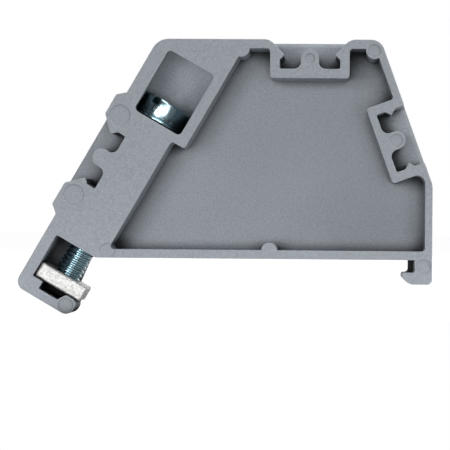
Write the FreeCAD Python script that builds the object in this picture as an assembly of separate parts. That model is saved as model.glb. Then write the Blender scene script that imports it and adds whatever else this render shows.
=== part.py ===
"""End stop for a 35 mm top-hat rail: one moulded body, a clamp screw and a square clamp nut.

The body is a flat moulding, open at the front (-Y) and closed at the back by a thin web. Its right end
hooks under one rail flange. Its left end is a leaning limb that holds the screw. Turning the screw
draws the nut up the limb until it grips the other flange from below.

Frame: X runs across the rail, Y along it and Z up. The origin is the middle of the rail's top face.
"""
import FreeCAD, Part
import math
import os

Vector = FreeCAD.Vector

# Rail, mm
rail_width = 35.0
rail_play = 0.05

# Body: overall form
thickness = 8.2
web = 0.87
height = 24.15
hook_wall = 1.9
side_rise = 8.24
flank_lean = 20.0
flare = 0.2

# Body: walls
beam = 0.95
top_wall = 1.0
side_wall = 0.8
flank_wall = 0.85
frame_wall = 1.02
top_floor = 1.02
flank_floor = 0.82

# Limb and its bore: head_depth is measured down the screw axis from the top face
limb_lean = 30.0
bore_radius = 3.42
bore_wall = 0.79
tunnel_wall = 0.99
limb_right = 2.75
head_depth = 10.39
shoulder_wall = 1.05

# Opening in the front of the bore that shows the screw head
window_length = 7.65
window_width = 5.86
window_shift = 0.33
window_round = 0.5

# Foot: nut chamber, nut seat and the clearance below the screw's tip, along the screw axis from the
# rail's top face
chamber_left = 2.97
chamber_run = 1.16
seat_run = 4.08
tip_floor = 0.92
tip_left = 1.69
tip_right = 0.71
tip_flank = 0.56
foot_thick = 1.89
foot_right = 2.78
web_gap = 0.47
web_lean = 23.6
web_foot = 2.54

# Raised pads on the limb's left face, above and below its marker groove
pad_proud = 0.9
pad_low = 3.88
pad_above = 0.35
pad_slope = 0.77

# Marker grooves: one shape, used in the top face, the right flank and the limb
groove_width = 6.68
groove_depth = 3.23
lip_reach = 0.57
lip_depth = 1.66
lip_round = 0.2
nub_radius = 0.98
nub_drop = 1.1
nub_foot = 0.77
top_groove_shift = 0.52
flank_groove_run = 5.98
limb_groove_below = 6.51
flank_lead = 0.56
web_edge_round = 0.5

# Hook under the right rail flange
throat_height = 1.37
throat_relief = 0.6
hook_drop = 2.68
nose_length = 1.39
nose_rise = 0.5
hook_slope = 0.75

# Corner radii of the moulding
top_left_round = 2.0
top_right_round = 1.5
mouth_round = 1.45
shoulder_round = 2.1
foot_round = 1.1
foot_tip_round = 0.93
hook_round = 0.55
nose_round = 0.35
nose_sweep = 1.2
throat_round = 0.2
web_throat_round = 0.9
window_sill = 0.1
inner_round = 0.35
wall_round = 0.9
small_round = 0.15

# Ejector bosses and marks
boss_radius = 0.92
boss_inset = 0.2
beam_boss_x = 2.15
beam_boss_radius = 0.84
mark_depth = 0.1

# Screw and nut
thread_radius = 1.5
head_radius = 3.0
head_height = 2.45
head_edge = 0.2
collar = 0.2
collar_edge = 0.06
collar_groove = 0.28
collar_groove_depth = 0.14
slot_width = 0.8
slot_depth = 0.87
slot_turn = 20.5
tip_edge = 0.25
nut_side = 5.8
nut_thick = 1.7
nut_corner = 0.25
nut_edge = 0.15
nut_lift = 0.1
thread_play = 0.05
shank_play = 0.1

# Levels through the thickness and faces that several features share
front = -thickness / 2
back = thickness / 2
floor = back - web
limb_left = bore_radius + bore_wall
tunnel_right = bore_radius + tunnel_wall
pad_out = limb_left + pad_proud
rail_edge = rail_width / 2
axis_x = -(rail_edge + rail_play + thread_radius / math.cos(math.radians(limb_lean)))
hook_x = rail_edge + rail_play
throat_x = hook_x + throat_relief
wall_x = throat_x + hook_wall
shoulder_run = height / math.cos(math.radians(limb_lean)) - head_depth
tunnel_run = shoulder_run - shoulder_wall
pad_high = shoulder_run + pad_above
limb_groove_run = shoulder_run - limb_groove_below
foot_run = -(seat_run + foot_thick)
half_groove = groove_width / 2


class Line:
    """A straight edge of the moulding, with the material on its right as it is followed."""

    def __init__(self, x, z, heading):
        turn = math.radians(heading)
        self.start = Vector(x, 0, z)
        self.along = Vector(math.cos(turn), 0, math.sin(turn))
        self.out = Vector(-math.sin(turn), 0, math.cos(turn))

    def at(self, run, out=0.0):
        """The point so far along the line and so far outside it."""
        return self.start + self.along * run + self.out * out

    def meet(self, other, out=0.0, other_out=0.0):
        """Where this line crosses another, each moved outwards by its own distance."""
        gap = other.at(0, other_out) - self.at(0, out)
        run = gap.dot(other.out) / self.along.dot(other.out)
        return self.at(run, out)


limb = Line(axis_x, 0, 90 - limb_lean)
top = Line(0, height, 0)
flank = Line(wall_x, side_rise, flank_lean - 90)
side = Line(wall_x, 0, -90)
rail_face = Line(0, 0, 180)

# The top groove stands a little left of the middle between the limb's tunnel and the flank
top_left = limb.meet(top, -tunnel_right)
top_right = top.meet(flank)
top_groove_x = (top_left.x + top_right.x) / 2 - top_groove_shift


def outline(corners):
    """Closed wire through the corners, each a point with the radius that rounds it."""
    edges = []
    ends = []
    for i, (corner, radius) in enumerate(corners):
        back_way = corners[i - 1][0] - corner
        on_way = corners[(i + 1) % len(corners)][0] - corner
        half = back_way.getAngle(on_way) / 2
        room = min(back_way.Length, on_way.Length) / 2
        reach = min(radius / math.tan(half), room)
        back_way.normalize()
        on_way.normalize()
        first = corner + back_way * reach
        last = corner + on_way * reach
        if reach > 0:
            middle_way = (back_way + on_way).normalize()
            depth = reach / math.cos(half) - reach * math.tan(half)
            edges.append(Part.Arc(first, corner + middle_way * depth, last).toShape())
        ends.append((first, last))
    for i, (first, _) in enumerate(ends):
        previous = ends[i - 1][1]
        if previous.distanceToPoint(first) > 1e-6:
            edges.append(Part.LineSegment(previous, first).toShape())
    return Part.Wire(Part.__sortEdges__(edges))


def slab(corners, y_low, y_high):
    """The outline as a solid between two levels of the thickness."""
    face = Part.Face(outline(corners))
    face.translate(Vector(0, y_low, 0))
    return face.extrude(Vector(0, y_high - y_low, 0))


def disc(centre, radius, y_low, y_high):
    """A round pin or pocket through the thickness."""
    base = Vector(centre.x, y_low, centre.z)
    return Part.makeCylinder(radius, y_high - y_low, base, Vector(0, 1, 0))


def rod(radius, run_low, run_high):
    """A cylinder on the screw axis."""
    return Part.makeCylinder(radius, run_high - run_low, limb.at(run_low), limb.along)


def marker_groove(line, centre, lead, edge_round):
    """Corners of one marker groove in the order that the line is followed.

    The lead-ins open at 45 degrees by the amount given and then run straight out to the line.
    """
    lip = half_groove - lip_reach
    half = [(lip + lead, 0, edge_round)]
    if lead < lip_depth:
        half.append((lip + lead, lead - lip_depth, small_round))
    half += [
        (lip, -lip_depth, lip_round),
        (half_groove, -lip_depth - lip_reach, lip_round),
        (half_groove, -groove_depth, lip_round),
        (nub_radius, -groove_depth, nub_foot),
        (nub_radius, -nub_drop, nub_radius),
    ]
    near = [(line.at(centre - run, out), radius) for run, out, radius in half]
    far = [(line.at(centre + run, out), radius) for run, out, radius in reversed(half)]
    return near + far


def left_side(grown, groove):
    """Limb's left face from the foot up, with its two pads; grown moves the pads' face outwards."""
    return [
        (limb.at(foot_run, limb_left), foot_round),
        (limb.at(pad_low - pad_slope, limb_left), inner_round),
        (limb.at(pad_low, pad_out + grown), small_round),
        *groove,
        (limb.at(pad_high, pad_out + grown), small_round),
        (limb.at(pad_high + pad_slope, limb_left), small_round),
        (limb.meet(top, limb_left), top_left_round),
    ]


def right_side(grown, groove):
    """Right flank and end wall down to the bottom of the hook."""
    return [
        (top.meet(flank, 0, grown), top_right_round),
        *groove,
        (flank.meet(side, grown), shoulder_round),
        (Vector(wall_x, 0, -hook_drop), hook_round),
    ]


def hook_nose(stop_x, stop_round):
    """Hook from its underside, round the nose and up to the rail face."""
    nose_x = throat_x - nose_length
    return [
        (Vector(nose_x + hook_slope, 0, -hook_drop), nose_sweep),
        (Vector(nose_x, 0, -throat_height - nose_rise), nose_round),
        (Vector(nose_x, 0, -throat_height), nose_round),
        (Vector(stop_x, 0, -throat_height), stop_round),
        (Vector(stop_x, 0, 0), 0),
    ]


def rim_corners():
    """Front outline: the marker grooves and the nut chamber are open in it."""
    limb_groove = marker_groove(pad_line(), 0, lip_depth, inner_round)
    top_groove = marker_groove(top, top_groove_x, lip_depth, mouth_round)
    flank_groove = marker_groove(flank, -flank_groove_run, flank_lead, small_round)
    return [
        *left_side(0, limb_groove),
        *top_groove,
        *right_side(0, flank_groove),
        *hook_nose(throat_x, throat_round),
        (across_limb(chamber_run).meet(rail_face), small_round),
        (limb.at(chamber_run, chamber_left), small_round),
        (limb.at(-seat_run, chamber_left), small_round),
        (limb.at(-seat_run, tip_left), small_round),
        (limb.at(-seat_run - tip_floor, tip_left), small_round),
        (limb.at(-seat_run - tip_floor, -tip_right), small_round),
        (limb.at(-seat_run, -tip_right - tip_flank), inner_round),
        (limb.at(-seat_run, -foot_right), foot_tip_round),
        (limb.at(foot_run, -foot_right), foot_tip_round),
    ]


def across_limb(run):
    """A line square to the screw axis, running to the right."""
    start = limb.at(run)
    return Line(start.x, start.z, -limb_lean)


def pad_line():
    """Outer face of the limb's pads, starting at the middle of the marker groove."""
    middle = limb.at(limb_groove_run, pad_out)
    return Line(middle.x, middle.z, 90 - limb_lean)


def web_corners():
    """Back outline: closed across the grooves, cut back beside the rail flange."""
    flange_edge = Line(-rail_edge - web_gap, 0, 90 - web_lean)
    return [
        *left_side(flare, []),
        *right_side(flare, []),
        *hook_nose(hook_x, web_throat_round),
        (flange_edge.at(0), 0),
        (flange_edge.meet(across_limb(-seat_run)), 0),
        (limb.at(-seat_run, -web_foot), small_round),
        (limb.at(foot_run, -web_foot), foot_tip_round),
    ]


def recess_corners():
    """Deep pocket inside the rim, between the limb, the grooves' frames, the end wall and the beam."""
    frame_left = top_groove_x - half_groove - frame_wall
    frame_right = top_groove_x + half_groove + frame_wall
    frame_low = height - groove_depth - top_floor
    frame_up = -flank_groove_run - half_groove - frame_wall
    frame_down = -flank_groove_run + half_groove + frame_wall
    frame_in = -groove_depth - flank_floor
    low_frame = Line(flank.at(frame_down).x, flank.at(frame_down).z, flank_lean)
    beam_top = Line(0, beam, 180)
    return [
        (limb.meet(top, -tunnel_right, -top_wall), 0),
        (Vector(frame_left, 0, height - top_wall), inner_round),
        (Vector(frame_left, 0, frame_low), inner_round),
        (Vector(frame_right, 0, frame_low), inner_round),
        (Vector(frame_right, 0, height - top_wall), inner_round),
        (top.meet(flank, -top_wall, -flank_wall), inner_round),
        (flank.at(frame_up, -flank_wall), inner_round),
        (flank.at(frame_up, frame_in), inner_round),
        (flank.at(frame_down, frame_in), inner_round),
        (low_frame.meet(side, 0, -side_wall), wall_round),
        (side.meet(beam_top, -side_wall), inner_round),
        (beam_top.meet(limb, 0, -limb_right), inner_round),
        (limb.at(tunnel_run, -limb_right), inner_round),
        (limb.at(tunnel_run, -tunnel_right), inner_round),
    ]


def bosses():
    """Round ejector bosses that bulge into the recess."""
    tunnel_top = limb.meet(top, boss_inset - tunnel_right, -top_wall)
    top_corner = top.meet(flank, -top_wall - boss_inset, -flank_wall - boss_inset)
    return [
        disc(tunnel_top, boss_radius, front, floor),
        disc(top_corner, boss_radius, front, floor),
        disc(Vector(beam_boss_x, 0, beam), beam_boss_radius, front, floor),
    ]


def marks():
    """Shallow ejector marks in the front face."""
    places = [
        (limb.at(pad_high - 1.77, limb_left - 0.62), 1.15),
        (limb.at(pad_low + 2.08, limb_left - 0.65), 1.15),
        (limb.at(foot_run + foot_tip_round, foot_tip_round - foot_right), 0.84),
        (limb.at(2.48, -limb_right), 0.88),
        (Vector(wall_x - 0.92, 0, -0.7), 0.8),
        (top.at(top_groove_x, -nub_drop - nub_radius), 0.55),
        (flank.at(-flank_groove_run, -nub_drop - nub_radius), 0.72),
        (top.meet(flank, -top_wall - boss_inset, -flank_wall - boss_inset), 0.7),
    ]
    return [disc(centre, radius, front, front + mark_depth) for centre, radius in places]


def window():
    """Rounded opening through the front wall of the bore."""
    start = shoulder_run - window_sill
    low = -window_width / 2 - window_shift
    high = window_width / 2 - window_shift
    corners = [
        (limb.at(start, low), window_round),
        (limb.at(start, high), window_round),
        (limb.at(start + window_length, high), window_round),
        (limb.at(start + window_length, low), window_round),
    ]
    return slab(corners, front, 0)


def web_edge_cutter(line, centre, lead, outside):
    """Rounds the web's outer front edge where a groove leaves it open."""
    reach = half_groove - lip_reach + lead
    radius = web_edge_round
    corner = Vector(0, floor, 0)
    square = [
        line.at(centre - reach, outside) + corner,
        line.at(centre - reach, outside - radius) + corner,
        line.at(centre - reach, outside) + Vector(0, floor + radius, 0),
    ]
    bend = line.at(centre - reach, outside - radius * (1 - math.sqrt(0.5)))
    bend = bend + Vector(0, floor + radius * (1 - math.sqrt(0.5)), 0)
    edges = [
        Part.LineSegment(square[2], square[0]).toShape(),
        Part.LineSegment(square[0], square[1]).toShape(),
        Part.Arc(square[1], bend, square[2]).toShape(),
    ]
    return Part.Face(Part.Wire(edges)).extrude(line.along * (2 * reach))


def stop_body():
    """The one-piece moulding."""
    rim = slab(rim_corners(), front, floor)
    recess = slab(recess_corners(), front, floor)
    rim = rim.cut(recess).fuse(bosses())
    plate = slab(web_corners(), floor, back)
    rounded = [
        web_edge_cutter(pad_line(), 0, lip_depth, flare),
        web_edge_cutter(flank, -flank_groove_run, flank_lead, flare),
        web_edge_cutter(top, top_groove_x, lip_depth, 0),
    ]
    plate = plate.cut(rounded)
    far_run = (height + bore_radius) / math.cos(math.radians(limb_lean)) + bore_radius
    holes = [
        rod(bore_radius, shoulder_run, far_run),
        rod(thread_radius + shank_play, 0, shoulder_run),
        window(),
        *marks(),
    ]
    return rim.fuse(plate).cut(holes).removeSplitter()


def clamp_screw():
    """Slotted cheese-head screw with a thin collar, its tip level with the nut's lower face."""
    tip_run = -seat_run + nut_lift
    collar_run = shoulder_run + collar
    head_top = shoulder_run + head_height
    profile = [
        (tip_run, 0),
        (tip_run, thread_radius - tip_edge),
        (tip_run + tip_edge, thread_radius),
        (shoulder_run, thread_radius),
        (shoulder_run, head_radius - collar_edge),
        (shoulder_run + collar_edge, head_radius),
        (collar_run, head_radius),
        (collar_run + collar_groove / 2, head_radius - collar_groove_depth),
        (collar_run + collar_groove, head_radius),
        (head_top - head_edge, head_radius),
        (head_top, head_radius - head_edge),
        (head_top, 0),
    ]
    points = [limb.at(run, out) for run, out in profile]
    face = Part.Face(Part.makePolygon(points + points[:1]))
    solid = face.revolve(limb.at(0), limb.along, 360)
    slot = Part.makeBox(slot_width, 4 * head_radius, 2 * slot_depth)
    slot.translate(Vector(-slot_width / 2, -2 * head_radius, -slot_depth))
    slot.rotate(Vector(0, 0, 0), Vector(0, 0, 1), -slot_turn)
    slot.rotate(Vector(0, 0, 0), Vector(0, 1, 0), limb_lean)
    slot.translate(limb.at(head_top))
    return solid.cut(slot)


def clamp_nut():
    """Thin square nut, resting just above its seat."""
    half = nut_side / 2
    low = -seat_run + nut_lift
    blank = Part.makeBox(nut_side, nut_side, nut_thick, Vector(-half, -half, 0))
    upright = [e for e in blank.Edges if abs(e.Vertexes[0].Z - e.Vertexes[1].Z) > nut_thick / 2]
    blank = blank.makeFillet(nut_corner, upright)
    rims = [e for e in blank.Edges if abs(e.BoundBox.ZLength) < nut_thick / 2]
    blank = blank.makeChamfer(nut_edge, rims)
    blank = blank.cut(Part.makeCylinder(thread_radius + thread_play, nut_thick))
    blank.rotate(Vector(0, 0, 0), Vector(0, 1, 0), limb_lean)
    blank.translate(limb.at(low))
    return blank


def main():
    """Builds each piece and writes it as one STEP file."""
    os.makedirs("parts", exist_ok=True)
    pieces = {
        "stop_body": stop_body(),
        "clamp_screw": clamp_screw(),
        "clamp_nut": clamp_nut(),
    }
    for name, shape in pieces.items():
        solids = shape.Solids
        print(name, "solids", len(solids), "valid", shape.isValid(), "volume", round(shape.Volume, 2))
        solids[0].exportStep("parts/" + name + ".step")


main()
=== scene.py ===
"""Looks for a rail end stop: its grey moulding, its zinc-plated clamp screw and its square clamp nut.

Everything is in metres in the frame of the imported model: X across the rail, Y towards the closed back,
Z up from the rail's top face.
"""

import logging
import math
from dataclasses import dataclass
from enum import Enum
from typing import Any

import bmesh
import bpy
from mathutils import Matrix, Vector

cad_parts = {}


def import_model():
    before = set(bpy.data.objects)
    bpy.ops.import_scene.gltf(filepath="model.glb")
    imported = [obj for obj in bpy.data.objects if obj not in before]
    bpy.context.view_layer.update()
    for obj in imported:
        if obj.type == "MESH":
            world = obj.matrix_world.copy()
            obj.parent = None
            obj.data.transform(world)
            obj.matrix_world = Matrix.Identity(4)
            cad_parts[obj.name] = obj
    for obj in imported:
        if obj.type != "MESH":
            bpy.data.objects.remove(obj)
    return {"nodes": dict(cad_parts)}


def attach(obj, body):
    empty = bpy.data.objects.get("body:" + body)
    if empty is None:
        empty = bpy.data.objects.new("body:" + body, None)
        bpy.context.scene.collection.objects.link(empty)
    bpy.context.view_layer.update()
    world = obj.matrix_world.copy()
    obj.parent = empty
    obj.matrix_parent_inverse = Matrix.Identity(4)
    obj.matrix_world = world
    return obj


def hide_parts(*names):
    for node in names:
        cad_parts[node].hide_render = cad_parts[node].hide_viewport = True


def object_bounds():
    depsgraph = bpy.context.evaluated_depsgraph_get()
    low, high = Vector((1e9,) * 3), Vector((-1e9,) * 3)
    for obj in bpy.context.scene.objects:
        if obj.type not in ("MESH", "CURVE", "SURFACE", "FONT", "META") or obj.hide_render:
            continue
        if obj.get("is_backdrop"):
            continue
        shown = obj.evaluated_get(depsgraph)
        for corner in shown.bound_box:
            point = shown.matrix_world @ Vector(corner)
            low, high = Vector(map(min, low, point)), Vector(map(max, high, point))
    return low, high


log = logging.getLogger("end_stop")
MM = 0.001
WELD = 0.0005 * MM
FULL_TURN = 2.0 * math.pi


class Slot(Enum):
    """The record's finishes, by the names of their slots."""

    MOULDING = "moulding"
    SCREW = "screw_steel"
    NUT = "nut_steel"


class Body(Enum):
    """The bodies that pieces ride on."""

    BODY = "body"
    SCREW = "screw"
    NUT = "nut"


class Band(Enum):
    """The part of a noise's range that a pattern uses, from soft to hard."""

    SOFT = (0.2, 0.8)
    EVEN = (0.25, 0.75)
    CRISP = (0.3, 0.7)
    PITTED = (0.3, 0.6)


@dataclass(frozen=True)
class ScrewAxis:
    """The slanted line of the clamp screw, through the rail's edge and up the limb."""

    foot_x: float = -19.282 * MM
    lean: float = math.radians(30.0)

    def matrix(self) -> Matrix:
        """Turns a piece built upright on the origin onto the axis."""
        turn = Matrix.Rotation(self.lean, 4, "Y")
        return Matrix.Translation((self.foot_x, 0.0, 0.0)) @ turn


class Net:
    """Adds nodes to a tree, sets their inputs and links them."""

    def __init__(self, tree: bpy.types.NodeTree) -> None:
        """Works on the given tree."""
        self.tree = tree

    def feed(self, socket: bpy.types.NodeSocket, value: Any) -> None:
        """Links a socket, or sets its value.

        Args:
            socket: The input to fill.
            value: Another node's output, or a plain value.
        """
        if isinstance(value, bpy.types.NodeSocket):
            self.tree.links.new(value, socket)
        else:
            socket.default_value = value

    def add(self, kind: str, inputs: dict[Any, Any] | None = None, **settings: Any) -> bpy.types.Node:
        """Adds one node.

        Args:
            kind: The node's type name.
            inputs: What its sockets are fed, by socket name or number.
            settings: The node's own properties.

        Returns:
            The new node.
        """
        node = self.tree.nodes.new(kind)
        for name, value in settings.items():
            setattr(node, name, value)
        for key, value in (inputs or {}).items():
            self.feed(node.inputs[key], value)
        return node

    def math(self, operation: str, *values: Any) -> bpy.types.NodeSocket:
        """Adds a Math node and returns its result."""
        node = self.add("ShaderNodeMath", dict(enumerate(values)), operation=operation)
        return node.outputs[0]

    def noise(self, place: bpy.types.NodeSocket, size: float, detail: float = 2.0) -> bpy.types.NodeSocket:
        """Adds noise of one grain size.

        Args:
            place: The coordinates it is read at.
            size: Width of its grains in metres.
            detail: Octaves of finer noise on top.

        Returns:
            The noise value, from 0 to 1.
        """
        node = self.add("ShaderNodeTexNoise", {"Vector": place, "Scale": 1.0 / size, "Detail": detail})
        return node.outputs["Fac"]

    def remap(self, value: Any, low: float, high: float, new_low: Any, new_high: Any) -> bpy.types.NodeSocket:
        """Maps one range onto another, held at its ends.

        Args:
            value: The value to map.
            low: Where its range starts.
            high: Where its range ends.
            new_low: What the start becomes.
            new_high: What the end becomes.

        Returns:
            The mapped value.
        """
        inputs = {0: value, 1: low, 2: high, 3: new_low, 4: new_high}
        return self.add("ShaderNodeMapRange", inputs, clamp=True).outputs[0]

    def tone(self, pattern: Any, band: Band, ends: tuple[float, float]) -> bpy.types.NodeSocket:
        """Turns a noise into a factor or a roughness.

        Args:
            pattern: The noise.
            band: The part of its range that is used.
            ends: What the band's two ends become.

        Returns:
            The factor.
        """
        return self.remap(pattern, *band.value, *ends)

    def product(self, first: Any, second: Any) -> bpy.types.NodeSocket:
        """Two values multiplied."""
        return self.math("MULTIPLY", first, second)

    def shade(self, colour: tuple[float, float, float], factor: Any) -> bpy.types.NodeSocket:
        """A colour made lighter or darker by a factor."""
        node = self.add("ShaderNodeVectorMath", {0: colour, "Scale": factor}, operation="SCALE")
        return node.outputs[0]

    def bump(self, height: Any, depth: float, under: Any = None) -> bpy.types.NodeSocket:
        """Adds relief to the surface normal.

        Args:
            height: Height value from 0 to 1.
            depth: Depth of the relief in metres.
            under: Normal that it is laid on.

        Returns:
            The new normal.
        """
        node = self.add("ShaderNodeBump", {"Height": height, "Strength": 1.0, "Distance": depth})
        if under is not None:
            self.feed(node.inputs["Normal"], under)
        return node.outputs["Normal"]


class Finish:
    """A material under way: its net, its Object coordinates and its main shader."""

    def __init__(self, name: str, roughness: float, metallic: float = 0.0) -> None:
        """Starts a material.

        Args:
            name: The material's name.
            roughness: Base roughness, set on the shader itself.
            metallic: How metallic it is.
        """
        self.material = bpy.data.materials.new(name)
        self.material.use_nodes = True
        tree = self.material.node_tree
        self.shader = tree.nodes["Principled BSDF"]
        self.shader.inputs["Roughness"].default_value = roughness
        self.shader.inputs["Metallic"].default_value = metallic
        self.net = Net(tree)
        self.place = self.net.add("ShaderNodeTexCoord").outputs["Object"]

    def set(self, name: str, value: Any) -> None:
        """Feeds one input of the main shader."""
        self.net.feed(self.shader.inputs[name], value)


@dataclass(frozen=True)
class MouldedPlastic:
    """Grey polyamide from a spark-eroded mould: fine grain and eased edges, with painted highlights on the
    edges and painted shade in the hollows.
    """

    colour: tuple[float, float, float] = (0.344, 0.373, 0.410)
    roughness: float = 0.62
    roughness_change: float = 0.08
    specular: float = 0.25
    grain: float = 0.2 * MM
    grain_depth: float = 0.02 * MM
    grain_tone: tuple[float, float] = (0.84, 1.14)
    cloud: float = 5.0 * MM
    cloud_tone: tuple[float, float] = (0.985, 1.015)
    edge_round: float = 0.12 * MM
    # the next two paint highlights on rounded edges into the colour
    edge_highlight_turn: float = 0.8
    edge_highlight_gain: float = 1.5
    # the next six paint shade into the colour: narrow corners and deep pockets are darkened
    corner_shade_reach: float = 1.9 * MM
    corner_shade_open: tuple[float, float] = (0.35, 0.72)
    corner_shade_tone: float = 0.1
    pocket_shade_reach: float = 9.0 * MM
    pocket_shade_open: tuple[float, float] = (0.1, 0.22)
    pocket_shade_tone: float = 0.15
    rays: int = 8

    def painted_hollow_shade(
        self, net: Net, reach: float, opening: tuple[float, float], tone: float
    ) -> bpy.types.NodeSocket:
        """Paints shade into what is closed in: the colour darkens where ambient occlusion finds walls close
        by.

        Args:
            net: The material's net.
            reach: How far away a wall still counts.
            opening: How open a spot is where it is darkest, and where it is full bright.
            tone: The colour's factor where the painted shade is darkest.

        Returns:
            The factor, 1 in the open.
        """
        seen = net.add("ShaderNodeAmbientOcclusion", {"Distance": reach}, samples=self.rays)
        return net.remap(seen.outputs["AO"], *opening, tone, 1.0)

    def painted_edge_highlight(self, net: Net, eased: bpy.types.NodeSocket) -> bpy.types.NodeSocket:
        """Paints highlights on the edges: the colour is lightened where the rounded normal turns away from
        the flat one.

        Args:
            net: The material's net.
            eased: The normal with its edges rounded.

        Returns:
            The factor, 1 on flat faces.
        """
        flat = net.add("ShaderNodeNewGeometry").outputs["Normal"]
        along = net.add("ShaderNodeVectorMath", {0: eased, 1: flat}, operation="DOT_PRODUCT")
        return net.remap(along.outputs["Value"], 1.0, self.edge_highlight_turn, 1.0, self.edge_highlight_gain)

    def material(self) -> bpy.types.Material:
        """Builds the node material."""
        finish = Finish("grey_moulding", self.roughness)
        net = finish.net
        grain = net.noise(finish.place, self.grain, 3.0)
        cloud = net.noise(finish.place, self.cloud)
        pattern = net.product(
            net.tone(grain, Band.EVEN, self.grain_tone), net.tone(cloud, Band.CRISP, self.cloud_tone)
        )
        # painted shade: ambient occlusion darkens the colour in corners and deep pockets
        painted_shade = net.product(
            self.painted_hollow_shade(net, self.corner_shade_reach, self.corner_shade_open, self.corner_shade_tone),
            self.painted_hollow_shade(net, self.pocket_shade_reach, self.pocket_shade_open, self.pocket_shade_tone),
        )
        eased = net.add("ShaderNodeBevel", {"Radius": self.edge_round}, samples=self.rays).outputs[0]
        # the colour's factor: random grain tone times painted shade and painted edge highlights
        factor = net.product(pattern, net.product(painted_shade, self.painted_edge_highlight(net, eased)))
        gloss = (self.roughness - self.roughness_change, self.roughness + self.roughness_change)
        finish.set("Base Color", net.shade(self.colour, factor))
        finish.set("Roughness", net.tone(grain, Band.SOFT, gloss))
        finish.set("Normal", net.bump(grain, self.grain_depth, eased))
        finish.set("Specular IOR Level", self.specular)
        return finish.material


@dataclass(frozen=True)
class BlueZinc:
    """Blue zinc plate on a rolled screw: glossy and dark, with a faint tint."""

    colour: tuple[float, float, float] = (0.36, 0.50, 0.55)
    roughness: float = 0.18
    roughness_ends: tuple[float, float] = (0.12, 0.28)
    grain: float = 0.22 * MM
    grain_depth: float = 0.006 * MM
    cloud: float = 1.4 * MM
    cloud_tone: tuple[float, float] = (0.82, 1.1)

    def material(self) -> bpy.types.Material:
        """Builds the node material."""
        finish = Finish("blue_zinc", self.roughness, 1.0)
        net = finish.net
        grain = net.noise(finish.place, self.grain, 3.0)
        cloud = net.noise(finish.place, self.cloud)
        finish.set("Base Color", net.shade(self.colour, net.tone(cloud, Band.CRISP, self.cloud_tone)))
        finish.set("Roughness", net.tone(grain, Band.CRISP, self.roughness_ends))
        finish.set("Normal", net.bump(grain, self.grain_depth))
        return finish.material


@dataclass(frozen=True)
class CutSteel:
    """Bright plate on a sheared nut: rough faces with pits and scratches."""

    colour: tuple[float, float, float] = (0.65, 0.65, 0.635)
    metallic: float = 0.55
    roughness: float = 0.42
    roughness_ends: tuple[float, float] = (0.32, 0.55)
    pit: float = 0.3 * MM
    pit_depth: float = 0.08 * MM
    pit_tone: tuple[float, float] = (0.64, 1.0)
    scratch: float = 0.1 * MM
    scratch_depth: float = 0.01 * MM
    scratch_tone: tuple[float, float] = (0.86, 1.04)
    scratch_draw: tuple[float, float, float] = (1.0, 0.35, 1.0)

    def material(self) -> bpy.types.Material:
        """Builds the node material."""
        finish = Finish("cut_steel", self.roughness, self.metallic)
        net = finish.net
        pits = net.noise(finish.place, self.pit, 4.0)
        drawn = net.add("ShaderNodeMapping", {"Vector": finish.place, "Scale": self.scratch_draw})
        scratches = net.noise(drawn.outputs[0], self.scratch)
        marks = net.product(
            net.tone(pits, Band.PITTED, self.pit_tone), net.tone(scratches, Band.CRISP, self.scratch_tone)
        )
        finish.set("Base Color", net.shade(self.colour, marks))
        finish.set("Roughness", net.tone(scratches, Band.CRISP, self.roughness_ends))
        finish.set("Normal", net.bump(scratches, self.scratch_depth, net.bump(pits, self.pit_depth)))
        return finish.material


class SizedTree:
    """A geometry tree with named inputs, and the mesh that it makes."""

    def __init__(self, name: str) -> None:
        """Starts an empty tree with one geometry output."""
        self.tree = bpy.data.node_groups.new(name, "GeometryNodeTree")
        self.net = Net(self.tree)
        self.tree.interface.new_socket(name="Geometry", in_out="OUTPUT", socket_type="NodeSocketGeometry")
        self.entry = self.tree.nodes.new("NodeGroupInput")
        self.exit = self.tree.nodes.new("NodeGroupOutput")
        self.values: dict[str, Any] = {}

    def size(self, name: str, value: Any, kind: str = "NodeSocketFloat") -> bpy.types.NodeSocket:
        """Adds a named input.

        Args:
            name: The input's name.
            value: What the modifier sets it to.
            kind: The socket's type name.

        Returns:
            The socket to read it from inside the tree.
        """
        socket = self.tree.interface.new_socket(name=name, in_out="INPUT", socket_type=kind)
        self.values[socket.identifier] = value
        return self.entry.outputs[name]

    def close(self, geometry: bpy.types.NodeSocket, material: bpy.types.Material) -> None:
        """Ends the tree.

        Args:
            geometry: What the tree has made.
            material: The finish that it gets.
        """
        real = self.net.add("GeometryNodeRealizeInstances", {"Geometry": geometry})
        painted = self.net.add("GeometryNodeSetMaterial", {"Geometry": real.outputs[0], "Material": material})
        self.tree.links.new(painted.outputs[0], self.exit.inputs[0])

    def mesh(self, name: str) -> bpy.types.Mesh:
        """Runs the tree once and keeps its result as a plain mesh."""
        holder = new_object(name + "_source", bpy.data.meshes.new(name + "_source"))
        modifier = holder.modifiers.new("tree", "NODES")
        modifier.node_group = self.tree
        for identifier, value in self.values.items():
            modifier[identifier] = value
        mesh = evaluated_mesh(holder)
        mesh.name = name
        bpy.data.objects.remove(holder)
        return mesh


def new_object(name: str, mesh: bpy.types.Mesh) -> bpy.types.Object:
    """Puts a mesh in the scene under a name, with its origin at the world's."""
    thing = bpy.data.objects.new(name, mesh)
    bpy.context.scene.collection.objects.link(thing)
    return thing


def evaluated_mesh(thing: bpy.types.Object) -> bpy.types.Mesh:
    """A plain copy of what an object's modifiers make."""
    bpy.context.view_layer.update()
    graph = bpy.context.evaluated_depsgraph_get()
    return bpy.data.meshes.new_from_object(thing.evaluated_get(graph))


def hand_over(thing: bpy.types.Object, body: Body, node: str = "") -> None:
    """Rides a finished piece on its body.

    Args:
        thing: The finished piece.
        body: The body that carries it.
        node: The CAD node it stands for, if any.
    """
    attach(thing, body.value)
    if node:
        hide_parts(node)
    log.info("%s rides on %s with %d faces", thing.name, body.value, len(thing.data.polygons))


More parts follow.
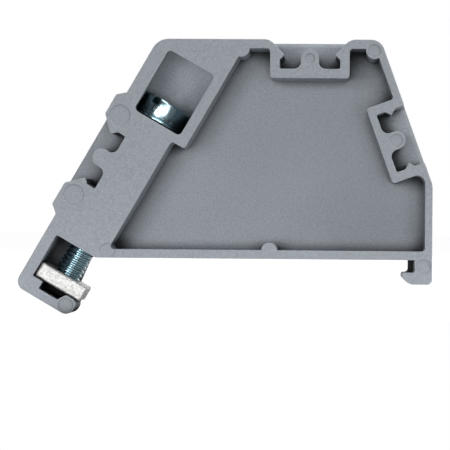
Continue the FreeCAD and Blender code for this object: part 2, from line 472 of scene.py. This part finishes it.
def dress_node(node: bpy.types.Object, material: bpy.types.Material, body: Body) -> None:
    """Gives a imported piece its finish, and leaves its shape as it is.

    Args:
        node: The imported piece.
        material: What it is dressed in.
        body: The body that it already rides on, for the log.
    """
    node.data.materials.clear()
    node.data.materials.append(material)
    log.info("%s rides on %s with %d faces", node.name, body.value, len(node.data.polygons))


@dataclass
class Moulding:
    """The one-piece moulding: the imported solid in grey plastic."""

    finish: MouldedPlastic = MouldedPlastic()

    def dress(self, node: bpy.types.Object) -> None:
        """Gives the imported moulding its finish.

        Args:
            node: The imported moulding.
        """
        dress_node(node, self.finish.material(), Body.BODY)


@dataclass
class ClampScrew:
    """Slotted cheese-head screw with a rolled metric thread, on the slanted axis."""

    thread_radius: float = 1.5 * MM
    pitch: float = 0.5 * MM
    thread_depth: float = 0.23 * MM
    crest_end: float = 0.19
    root_start: float = 0.40
    spare_turns: float = 4.0
    tip: float = -3.98 * MM
    shoulder: float = 17.496 * MM
    tip_chamfer: float = 0.3 * MM
    head_radius: float = 3.0 * MM
    head_height: float = 2.45 * MM
    head_edge: float = 0.2 * MM
    collar: float = 0.2 * MM
    collar_edge: float = 0.06 * MM
    collar_groove: float = 0.28 * MM
    collar_groove_depth: float = 0.14 * MM
    slot_width: float = 0.8 * MM
    slot_depth: float = 0.87 * MM
    slot_turn: float = math.radians(-20.5)
    edge_ease: float = 0.03 * MM
    edge_angle: float = math.radians(25.0)
    sharp_angle: float = math.radians(20.0)
    head_segments: int = 96
    thread_segments: int = 48
    rows_per_turn: int = 8
    axis: ScrewAxis = ScrewAxis()
    finish: BlueZinc = BlueZinc()

    def thread_tree(self, material: bpy.types.Material) -> SizedTree:
        """Builds the tree of the rolled thread.

        A grid is wound into a tube whose rows climb one pitch a turn, so that crest and root follow the
        helix. Rows past either end fold inwards and close it.

        Args:
            material: The finish of the thread.

        Returns:
            The tree with its sizes set.
        """
        kit = SizedTree("rolled_thread")
        net = kit.net
        radius = kit.size("Radius", self.thread_radius)
        pitch = kit.size("Pitch", self.pitch)
        depth = kit.size("Depth", self.thread_depth)
        tip = kit.size("Tip", self.tip)
        end = kit.size("End", self.shoulder + self.head_edge)
        chamfer = kit.size("Chamfer", self.tip_chamfer)
        across = kit.size("Segments", self.thread_segments, "NodeSocketInt")
        per_turn = kit.size("Rows per Turn", self.rows_per_turn, "NodeSocketInt")
        length = net.math("SUBTRACT", end, tip)
        turns = net.math("CEIL", net.math("ADD", net.math("DIVIDE", length, pitch), self.spare_turns))
        rows = net.product(turns, per_turn)
        grid = net.add(
            "GeometryNodeMeshGrid",
            {
                "Size X": turns,
                "Size Y": FULL_TURN,
                "Vertices X": net.math("ADD", rows, 1.0),
                "Vertices Y": net.math("ADD", across, 1.0),
            },
        )
        parts = net.add("ShaderNodeSeparateXYZ", {0: net.add("GeometryNodeInputPosition").outputs[0]})
        turn = net.math("ADD", parts.outputs["X"], net.math("DIVIDE", turns, 2.0))
        angle = net.math("ADD", parts.outputs["Y"], math.pi)
        climb = net.math("ADD", turn, net.math("DIVIDE", angle, FULL_TURN))
        base = net.math("SUBTRACT", tip, net.product(pitch, self.spare_turns / 2.0))
        run = net.math("MULTIPLY_ADD", climb, pitch, base)
        ridge = net.math("ABSOLUTE", net.math("SUBTRACT", net.math("FRACT", turn), 0.5))
        root = net.math("SUBTRACT", radius, depth)
        profile = net.remap(ridge, self.crest_end, self.root_start, radius, root)
        room = net.math("MINIMUM", net.math("SUBTRACT", run, tip), net.math("SUBTRACT", end, run))
        slope = net.math("DIVIDE", depth, chamfer)
        cone = net.math("MULTIPLY_ADD", room, slope, root)
        fold = net.math("ADD", net.math("DIVIDE", room, pitch), 1.0)
        lid = net.product(root, net.math("MAXIMUM", fold, 0.0))
        ends = net.math("MINIMUM", cone, lid)
        out = net.math("MINIMUM", profile, net.math("MAXIMUM", ends, 0.0))
        place = net.add(
            "ShaderNodeCombineXYZ",
            {
                0: net.product(out, net.math("COSINE", angle)),
                1: net.product(out, net.math("SINE", angle)),
                2: net.math("MAXIMUM", tip, net.math("MINIMUM", run, end)),
            },
        )
        inputs = {"Geometry": grid.outputs[0], "Position": place.outputs[0]}
        wound = net.add("GeometryNodeSetPosition", inputs)
        merged = net.add("GeometryNodeMergeByDistance", {"Geometry": wound.outputs[0], "Distance": WELD})
        flipped = net.add("GeometryNodeFlipFaces", {"Mesh": merged.outputs[0]})
        smooth = net.add("GeometryNodeSetShadeSmooth", {"Geometry": flipped.outputs[0]})
        kit.close(smooth.outputs[0], material)
        return kit

    def head_mesh(self, material: bpy.types.Material) -> bpy.types.Mesh:
        """Turns the head's profile, cuts the slot and eases the edges.

        Args:
            material: The finish of the head.

        Returns:
            The head, upright on the origin.
        """
        low, high = self.shoulder, self.shoulder + self.head_height
        radius, lip = self.head_radius, low + self.collar
        profile = [
            (0.0, low),
            (radius - self.collar_edge, low),
            (radius, low + self.collar_edge),
            (radius, lip),
            (radius - self.collar_groove_depth, lip + self.collar_groove / 2),
            (radius, lip + self.collar_groove),
            (radius, high - self.head_edge),
            (radius - self.head_edge, high),
            (0.0, high),
        ]
        head = new_object("head_blank", turned(profile, self.head_segments))
        slot_size = (self.slot_width, 3 * self.head_radius, 2 * self.slot_depth)
        cutter = new_object("slot_cutter", block(slot_size, (0.0, 0.0, high), self.slot_turn))
        cut = head.modifiers.new("slot", "BOOLEAN")
        cut.object = cutter
        cut.solver = "EXACT"
        bevel = head.modifiers.new("edges", "BEVEL")
        bevel.width = self.edge_ease
        bevel.segments = 2
        bevel.limit_method = "ANGLE"
        bevel.angle_limit = self.edge_angle
        mesh = evaluated_mesh(head)
        mesh.materials.clear()
        mesh.materials.append(material)
        for thing in (head, cutter):
            bpy.data.objects.remove(thing)
        return mesh

    def build(self) -> None:
        """Makes the head and the thread and puts them on the screw's body."""
        material = self.finish.material()
        head = new_object("screw_head", self.head_mesh(material))
        head.data.shade_smooth()
        thread = new_object("screw_thread", self.thread_tree(material).mesh("screw_thread"))
        for thing in (head, thread):
            thing.data.transform(self.axis.matrix())
        sharpen(head.data, self.sharp_angle)
        hand_over(head, Body.SCREW, "clamp_screw")
        hand_over(thread, Body.SCREW)


@dataclass
class ClampNut:
    """Thin square nut with sheared faces."""

    finish: CutSteel = CutSteel()

    def dress(self, node: bpy.types.Object) -> None:
        """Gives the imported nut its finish.

        Args:
            node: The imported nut.
        """
        dress_node(node, self.finish.material(), Body.NUT)


def turned(profile: list[tuple[float, float]], segments: int) -> bpy.types.Mesh:
    """A closed solid of revolution about Z.

    Args:
        profile: Radius and height of each point, from the axis round to the axis again.
        segments: Faces round the axis.

    Returns:
        The mesh, with its faces outwards.
    """
    work = bmesh.new()
    points = [work.verts.new((radius, 0.0, height)) for radius, height in profile]
    edges = [work.edges.new(pair) for pair in zip(points, points[1:])]
    bmesh.ops.spin(
        work,
        geom=points + edges,
        cent=(0.0, 0.0, 0.0),
        axis=(0.0, 0.0, 1.0),
        angle=FULL_TURN,
        steps=segments,
        use_merge=True,
    )
    bmesh.ops.remove_doubles(work, verts=work.verts, dist=WELD)
    bmesh.ops.recalc_face_normals(work, faces=work.faces)
    mesh = bpy.data.meshes.new("turned")
    work.to_mesh(mesh)
    work.free()
    return mesh


def block(
    size: tuple[float, float, float], centre: tuple[float, float, float], turn: float
) -> bpy.types.Mesh:
    """A cutter: a plain block.

    Args:
        size: Its three sides.
        centre: Its middle.
        turn: Its turn about Z, in radians.

    Returns:
        The mesh, with its faces outwards.
    """
    work = bmesh.new()
    place = Matrix.Translation(centre) @ Matrix.Rotation(turn, 4, "Z") @ Matrix.Diagonal((*size, 1.0))
    bmesh.ops.create_cube(work, size=1.0, matrix=place)
    mesh = bpy.data.meshes.new("block")
    work.to_mesh(mesh)
    work.free()
    return mesh


def sharpen(mesh: bpy.types.Mesh, angle: float) -> None:
    """Marks edges past an angle as sharp, and shades the rest smooth."""
    work = bmesh.new()
    work.from_mesh(mesh)
    for face in work.faces:
        face.smooth = True
    for edge in work.edges:
        edge.smooth = len(edge.link_faces) == 2 and edge.calc_face_angle(0.0) < angle
    work.to_mesh(mesh)
    work.free()


@dataclass(frozen=True)
class SoftBox:
    """One soft light, in degrees as the part sees it."""

    name: str
    azimuth: float
    elevation: float
    width: float
    height: float
    radiance: float
    reach: float = 0.6


@dataclass
class Studio:
    """Light table, soft lights and the camera, with angles in degrees."""

    boxes: tuple[SoftBox, ...] = (
        SoftBox("left_box", -14.5, 1.0, 20.0, 20.0, 9.9),
        SoftBox("middle_box", 0.0, 0.0, 10.0, 20.0, 2.6),
        SoftBox("right_box", 13.0, -2.0, 13.0, 20.0, 6.3),
        SoftBox("right_fill_box", 42.0, 4.0, 56.0, 60.0, 0.2),
        SoftBox("upper_right_box", 58.0, 56.0, 30.0, 30.0, 6.0),
        SoftBox("left_side_box", -140.0, 10.0, 50.0, 60.0, 1.0),
        SoftBox("right_side_box", 140.0, 10.0, 50.0, 60.0, 0.3),
        SoftBox("overhead_box", 180.0, 82.0, 50.0, 14.0, 4.0),
        SoftBox("back_box", 180.0, 20.0, 40.0, 40.0, 1.6),
    )

    target: tuple[float, float, float] = (-2.697 * MM, -4.08 * MM, 3.703 * MM)
    distance: float = 316.2 * MM
    azimuth: float = 2.3
    roll: float = 0.45
    lens: float = 230.16
    sensor: float = 36.0
    clip: tuple[float, float] = (0.01, 50.0)
    floor_drop: float = 0.02 * MM
    floor_size: float = 3.0
    floor_lip: float = 15.0 * MM
    floor_roughness: float = 0.9
    floor_colour: tuple[float, float, float, float] = (0.8, 0.8, 0.8, 1.0)
    white: float = 1.0
    ambient: float = 0.02
    sheen: float = 0.04
    glow: float = 1.15
    glow_share: float = 0.85

    def direction(self, azimuth: float, elevation: float) -> Vector:
        """The way from the target to a point seen at an azimuth and elevation in degrees."""
        turn, tilt = math.radians(azimuth), math.radians(elevation)
        return Vector((math.sin(turn) * math.cos(tilt), -math.cos(turn) * math.cos(tilt), math.sin(tilt)))

    def camera(self) -> None:
        """Puts the camera at the photograph's viewing angle."""
        back = self.direction(self.azimuth, 0.0)
        level = Vector((0.0, 0.0, 1.0)).cross(back).normalized()
        upright = back.cross(level)
        turn = math.radians(self.roll)
        right = level * math.cos(turn) + upright * math.sin(turn)
        up = back.cross(right)
        place = Vector(self.target) + back * self.distance
        data = bpy.data.cameras.new("camera")
        data.lens = self.lens
        data.sensor_width = self.sensor
        data.clip_start, data.clip_end = self.clip
        thing = bpy.data.objects.new("camera", data)
        thing.matrix_world = Matrix.Translation(place) @ Matrix((right, up, back)).transposed().to_4x4()
        bpy.context.scene.collection.objects.link(thing)
        bpy.context.scene.camera = thing

    def lamp(self, box: SoftBox) -> None:
        """Hangs one soft box that faces the target.

        Args:
            box: Its place, size and brightness.
        """
        data = bpy.data.lights.new(box.name, "AREA")
        data.shape = "RECTANGLE"
        data.size = 2.0 * box.reach * math.tan(math.radians(box.width / 2.0))
        data.size_y = 2.0 * box.reach * math.tan(math.radians(box.height / 2.0))
        data.energy = math.pi * data.size * data.size_y * box.radiance
        thing = bpy.data.objects.new(box.name, data)
        way = self.direction(box.azimuth, box.elevation)
        thing.location = Vector(self.target) + way * box.reach
        thing.rotation_euler = way.to_track_quat("Z", "Y").to_euler()
        bpy.context.scene.collection.objects.link(thing)

    def surround(self) -> None:
        """White background, and a dimmer even light from all round."""
        world = bpy.data.worlds.new("surround")
        world.use_nodes = True
        net = Net(world.node_tree)
        base = world.node_tree.nodes["Background"]
        path = net.add("ShaderNodeLightPath")
        seen = path.outputs["Is Camera Ray"]
        mirrored = path.outputs["Is Glossy Ray"]
        dim = net.remap(mirrored, 0.0, 1.0, self.ambient, self.sheen)
        base.inputs["Color"].default_value = (1.0, 1.0, 1.0, 1.0)
        net.feed(base.inputs["Strength"], net.remap(seen, 0.0, 1.0, dim, self.white))
        bpy.context.scene.world = world

    def floor(self, lowest: float) -> None:
        """A lit table top under the part.

        Args:
            lowest: The part's lowest level.
        """
        work = bmesh.new()
        bmesh.ops.create_grid(work, x_segments=1, y_segments=1, size=self.floor_size / 2)
        mesh = bpy.data.meshes.new("floor")
        work.to_mesh(mesh)
        work.free()
        front = self.target[1] - self.floor_lip
        middle = front + self.floor_size / 2
        mesh.transform(Matrix.Translation((0.0, middle, lowest - self.floor_drop)))
        finish = Finish("light_table", self.floor_roughness)
        finish.set("Base Color", self.floor_colour)
        net = finish.net
        seen = net.add("ShaderNodeLightPath").outputs["Is Camera Ray"]
        glow = net.add("ShaderNodeEmission", {"Strength": self.glow})
        share = net.product(seen, self.glow_share)
        mixed = net.add("ShaderNodeMixShader", {0: share, 1: finish.shader.outputs[0], 2: glow.outputs[0]})
        output = finish.material.node_tree.nodes["Material Output"]
        net.feed(output.inputs["Surface"], mixed.outputs[0])
        mesh.materials.append(finish.material)
        new_object("floor", mesh)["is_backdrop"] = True

    def build(self, lowest: float) -> None:
        """Sets up the whole studio round the part."""
        bpy.context.scene.view_settings.view_transform = "Standard"
        self.camera()
        self.surround()
        self.floor(lowest)
        for box in self.boxes:
            self.lamp(box)


def main() -> None:
    """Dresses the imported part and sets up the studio."""
    logging.basicConfig(level=logging.INFO, format="%(message)s")
    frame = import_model()
    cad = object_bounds()
    Moulding().dress(frame["nodes"]["stop_body"])
    ClampScrew().build()
    ClampNut().dress(frame["nodes"]["clamp_nut"])
    Studio().build(cad[0].z)


if __name__ == "__main__":
    main()
